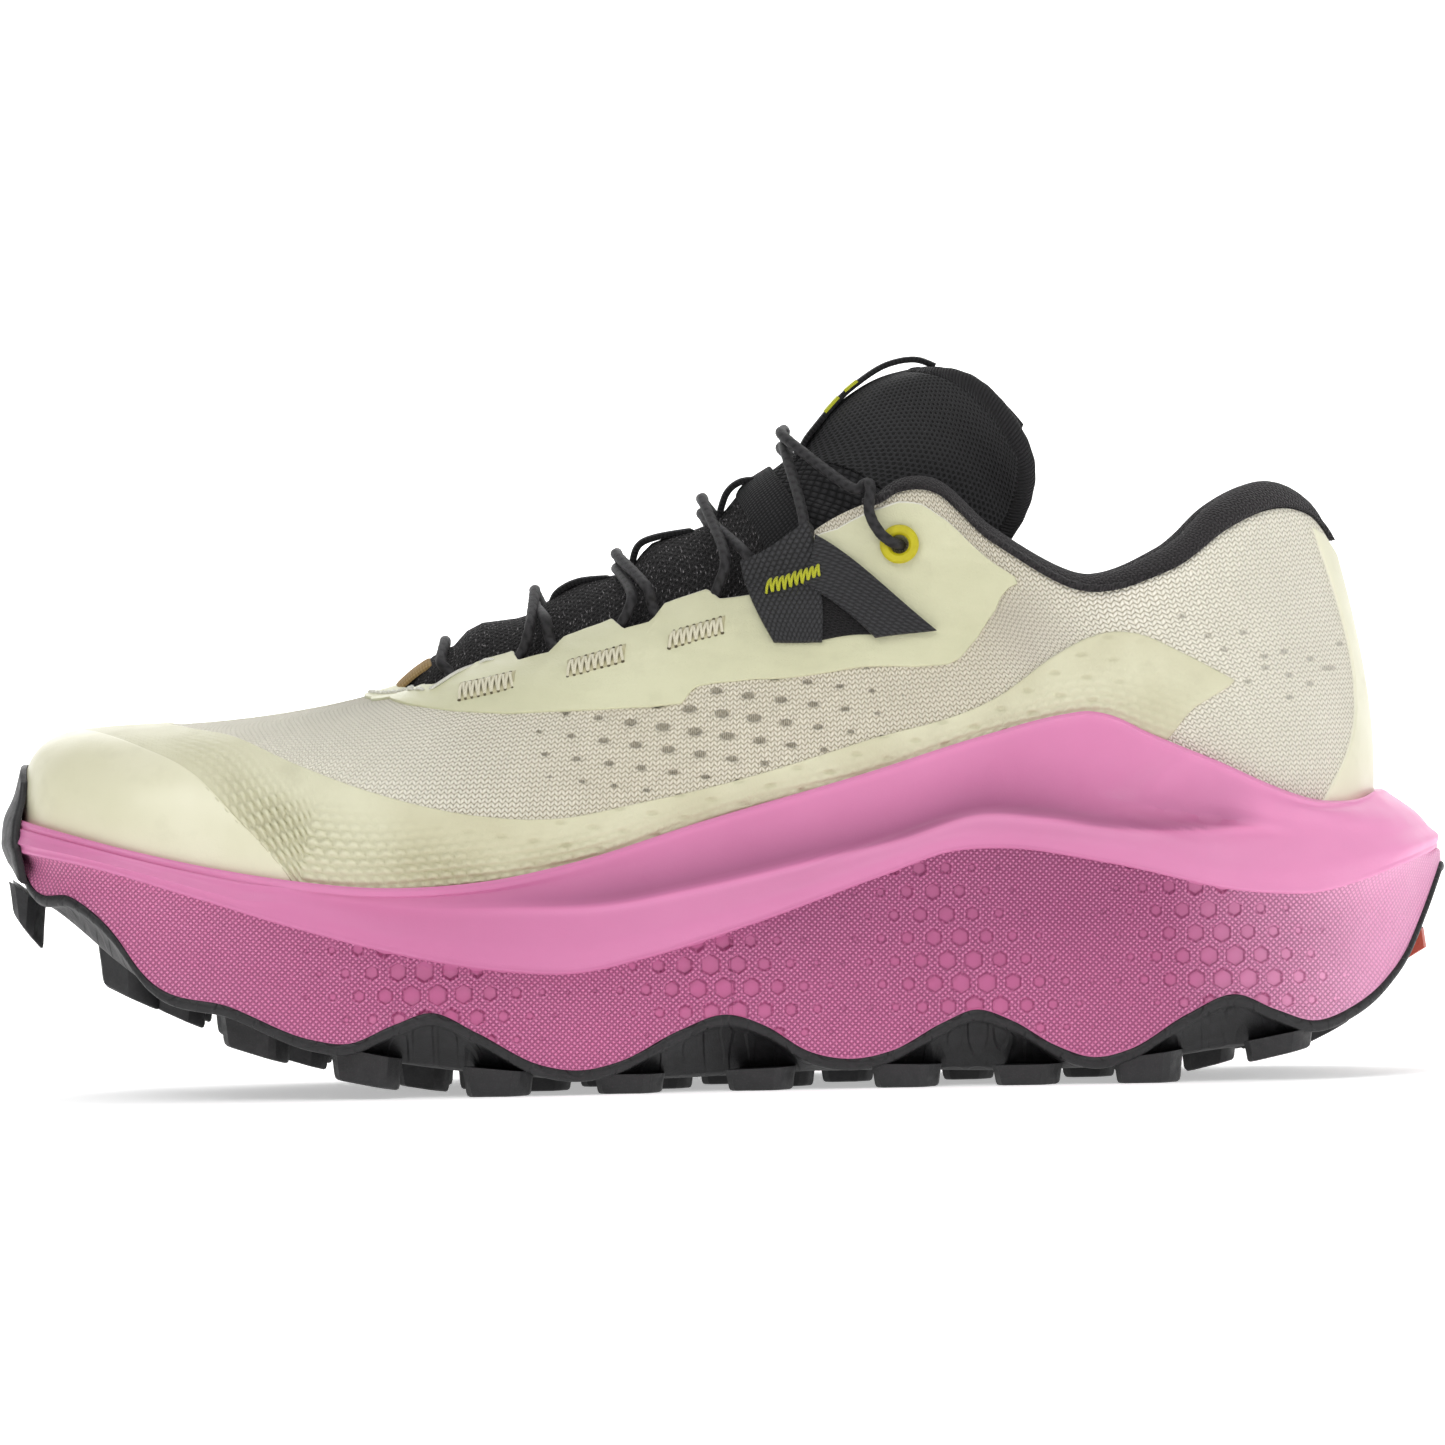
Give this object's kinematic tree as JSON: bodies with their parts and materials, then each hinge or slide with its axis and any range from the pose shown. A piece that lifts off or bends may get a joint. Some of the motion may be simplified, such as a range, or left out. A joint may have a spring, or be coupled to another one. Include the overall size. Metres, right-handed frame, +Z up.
{
  "type": "running shoe",
  "caption": "Right low-cut trail running shoe with waved foam midsole, lugged outsole, bonded knit upper, padded tongue and cord lacing with a push-button lock.",
  "frame": {"origin": "on the ground plane under the shoe, at the bottom face of the middle tread lug", "axes": "+X from toe to heel, -Y to the medial side, +Z up"},
  "size_m": [0.2899, 0.1093, 0.1454],
  "materials": {
    "outsole_rubber": "matte moulded",
    "insert_rubber": "matte moulded",
    "midsole_foam": "satin foam skin",
    "strobel_cloth": "stitched board",
    "insole_foam": "open-cell foam",
    "insole_cloth": "knitted cover",
    "stiffener": "moulded sheet",
    "knit": "knit with dash perforations",
    "toe_film": "satin bonded film",
    "foxing_film": "embossed bonded film",
    "eyestay_film": "smooth bonded film",
    "heel_film": "smooth bonded film",
    "strap_twill": "twill webbing and mesh",
    "thread_cream": "zigzag stitching",
    "thread_yellow": "zigzag stitching",
    "collar_knit": "brushed lining",
    "collar_foam": "soft foam",
    "gusset_mesh": "flecked stretch mesh",
    "spacer_mesh": "honeycomb spacer mesh",
    "tongue_lining": "smooth lining",
    "binding": "ribbed binding tape",
    "cord": "braided round cord",
    "eyelet": "satin moulded",
    "lock_plastic": "fine matte",
    "spring_steel": "drawn wire"
  },
  "bodies": {
    "shoe": {"outsole": "outsole_rubber", "heel_insert": "insert_rubber", "midsole": "midsole_foam", "strobel_board": "strobel_cloth", "heel_counter": "stiffener", "toe_puff": "stiffener", "upper_knit": "knit", "toe_cap": "toe_film", "foxing_film_medial": "foxing_film", "foxing_film_lateral": "foxing_film", "eyestay_film": "eyestay_film", "strap_medial": "strap_twill", "strap_lateral": "strap_twill", "eyestay_bartacks": "thread_cream", "strap_bartacks": "thread_yellow", "heel_film": "heel_film", "collar_foam": "collar_foam", "collar_lining": "collar_knit", "throat_gusset": "gusset_mesh", "tongue_base": "gusset_mesh", "pocket_binding": "binding", "lace": "cord", "eyelet_ring_medial": "eyelet", "eyelet_ring_lateral": "eyelet", "lace_end_cap": "lock_plastic"},
    "sockliner": {"insole_foam": "insole_foam", "insole_cover": "insole_cloth"},
    "tongue_top": {"tongue_pad": "spacer_mesh", "tongue_lining": "tongue_lining", "tongue_binding": "binding", "pull_band": "binding"},
    "cord_lock": {"lock_body": "lock_plastic", "lock_spring": "spring_steel"},
    "lock_push": {"lock_button": "lock_plastic"}
  },
  "joints": [
    {"name": "tongue_flex", "type": "hinge", "parent": "shoe", "child": "tongue_top", "pos_m": [0.0165, -0.002, 0.112], "axis": [0, -1, 0], "range_deg": [-3, 8]},
    {"name": "lock_slide", "type": "slide", "parent": "shoe", "child": "cord_lock", "axis": [0.77, 0, 0.638], "range_m": [0, 0.005]},
    {"name": "lock_button_press", "type": "slide", "parent": "cord_lock", "child": "lock_push", "axis": [-0.77, 0, -0.638], "range_m": [0, 0.0014], "stiffness_N_per_m": 400, "deforming": ["lock_spring"]},
    {"name": "insole_lift", "type": "hinge", "parent": "shoe", "child": "sockliner", "pos_m": [-0.137, -0.011, 0.0505], "axis": [0, -1, 0], "range_deg": [0, 4.5]}
  ]
}
